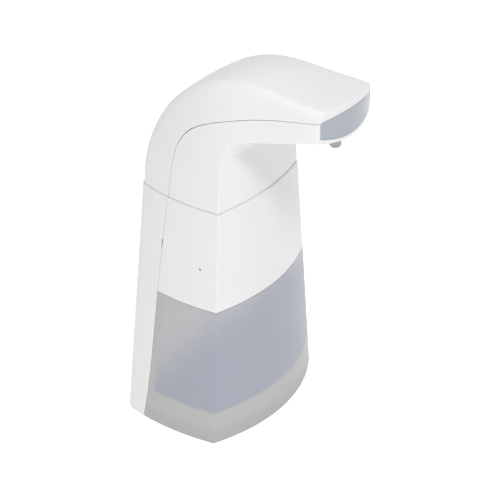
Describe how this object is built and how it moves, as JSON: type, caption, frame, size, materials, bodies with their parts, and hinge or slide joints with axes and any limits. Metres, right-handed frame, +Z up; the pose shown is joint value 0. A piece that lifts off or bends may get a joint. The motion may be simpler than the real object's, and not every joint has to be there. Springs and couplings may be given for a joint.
{
  "type": "wall mounted soap dispenser",
  "caption": "Touch-free liquid soap dispenser for a wall: arched spout with a sensor window, white housing, clear lower tank that pulls off forwards, gear pump inside.",
  "frame": {"origin": "centre of the four wall screw holes, on the wall plane", "axes": "+Z up, -Y out of the wall towards the user, +X to the right when seen from the wall side of the spout's front view"},
  "size_m": [0.1316, 0.1353, 0.2403],
  "materials": {
    "white_shell": "satin moulded",
    "clear_tank": "translucent moulded",
    "window_grey": "smoked, infrared-clear",
    "nozzle_grey": "satin",
    "plate_steel": "pressed and brushed",
    "frame_plastic": "fine texture",
    "pump_plastic": "moulded",
    "gear_plastic": "natural acetal",
    "shaft_steel": "ground",
    "rubber_seal": "matt",
    "soft_tube": "clear silicone",
    "board_green": "solder mask",
    "black_part": "moulded",
    "brass_part": "plain",
    "can_metal": "drawn can",
    "cell_wrap": "printed film, plain",
    "light_lens": "clear",
    "cap_plastic": "fine texture",
    "button_plastic": "satin"
  },
  "bodies": {
    "root": {"wall_plate": "plate_steel", "rear_cover": "white_shell", "head_top_cover": "white_shell", "head_under_cover": "white_shell", "sensor_window": "window_grey", "chassis": "frame_plastic", "pump_deck": "frame_plastic", "pump_body": "pump_plastic", "pump_cover": "pump_plastic", "battery_box": "frame_plastic", "battery_lid": "frame_plastic", "batteries": "cell_wrap", "battery_springs": "shaft_steel", "battery_plates": "shaft_steel", "motor_can": "shaft_steel", "motor_cap": "black_part", "motor_terminals": "brass_part", "idler_pin": "shaft_steel", "shaft_seal": "rubber_seal", "inlet_socket": "pump_plastic", "inlet_tube": "soft_tube", "outlet_tube": "soft_tube", "nozzle_holder": "pump_plastic", "nozzle_tip": "nozzle_grey", "main_board": "board_green", "board_chips": "black_part", "board_capacitor": "can_metal", "board_connectors": "black_part", "sensor_board": "board_green", "sensor_eyes": "black_part", "status_light": "light_lens", "button_switch": "black_part", "button_board": "board_green", "frame_screws": "shaft_steel", "deck_screws": "shaft_steel", "pump_screws": "shaft_steel", "board_screws": "shaft_steel", "lid_screw": "shaft_steel"},
    "reservoir": {"front_cover": "white_shell", "tank": "clear_tank", "outlet_fitting": "pump_plastic", "outlet_seal": "rubber_seal", "dip_tube": "soft_tube", "strainer": "pump_plastic", "cover_screws": "shaft_steel"},
    "cap": {"filler_cap": "cap_plastic", "filler_seal": "rubber_seal"},
    "drive_rotor": {"drive_shaft": "shaft_steel", "drive_gear": "gear_plastic"},
    "driven_rotor": {"driven_gear": "gear_plastic"},
    "button": {"mode_button": "button_plastic"}
  },
  "joints": [
    {"name": "reservoir_slide", "type": "slide", "parent": "root", "child": "reservoir", "axis": [0, -1, 0], "range_m": [0, 0.06]},
    {"name": "filler_cap_turn", "type": "hinge", "parent": "reservoir", "child": "cap", "pos_m": [0, -0.0525, 0.059], "axis": [0, 0, 1], "range_deg": [0, 90]},
    {"name": "drive_spin", "type": "hinge", "parent": "root", "child": "drive_rotor", "pos_m": [0.00605, -0.028, 0.0739], "axis": [0, 0, 1], "continuous": true},
    {"name": "driven_spin", "type": "hinge", "parent": "root", "child": "driven_rotor", "pos_m": [-0.00605, -0.028, 0.0739], "axis": [0, 0, 1], "continuous": true},
    {"name": "mode_button_press", "type": "slide", "parent": "root", "child": "button", "axis": [0, 1, 0], "range_m": [0, 0.0006], "stiffness_N_per_m": 2000, "springref_m": -0.0003}
  ],
  "couplings": [
    {"joint": "driven_spin", "follows": "drive_spin", "ratio": -1}
  ]
}
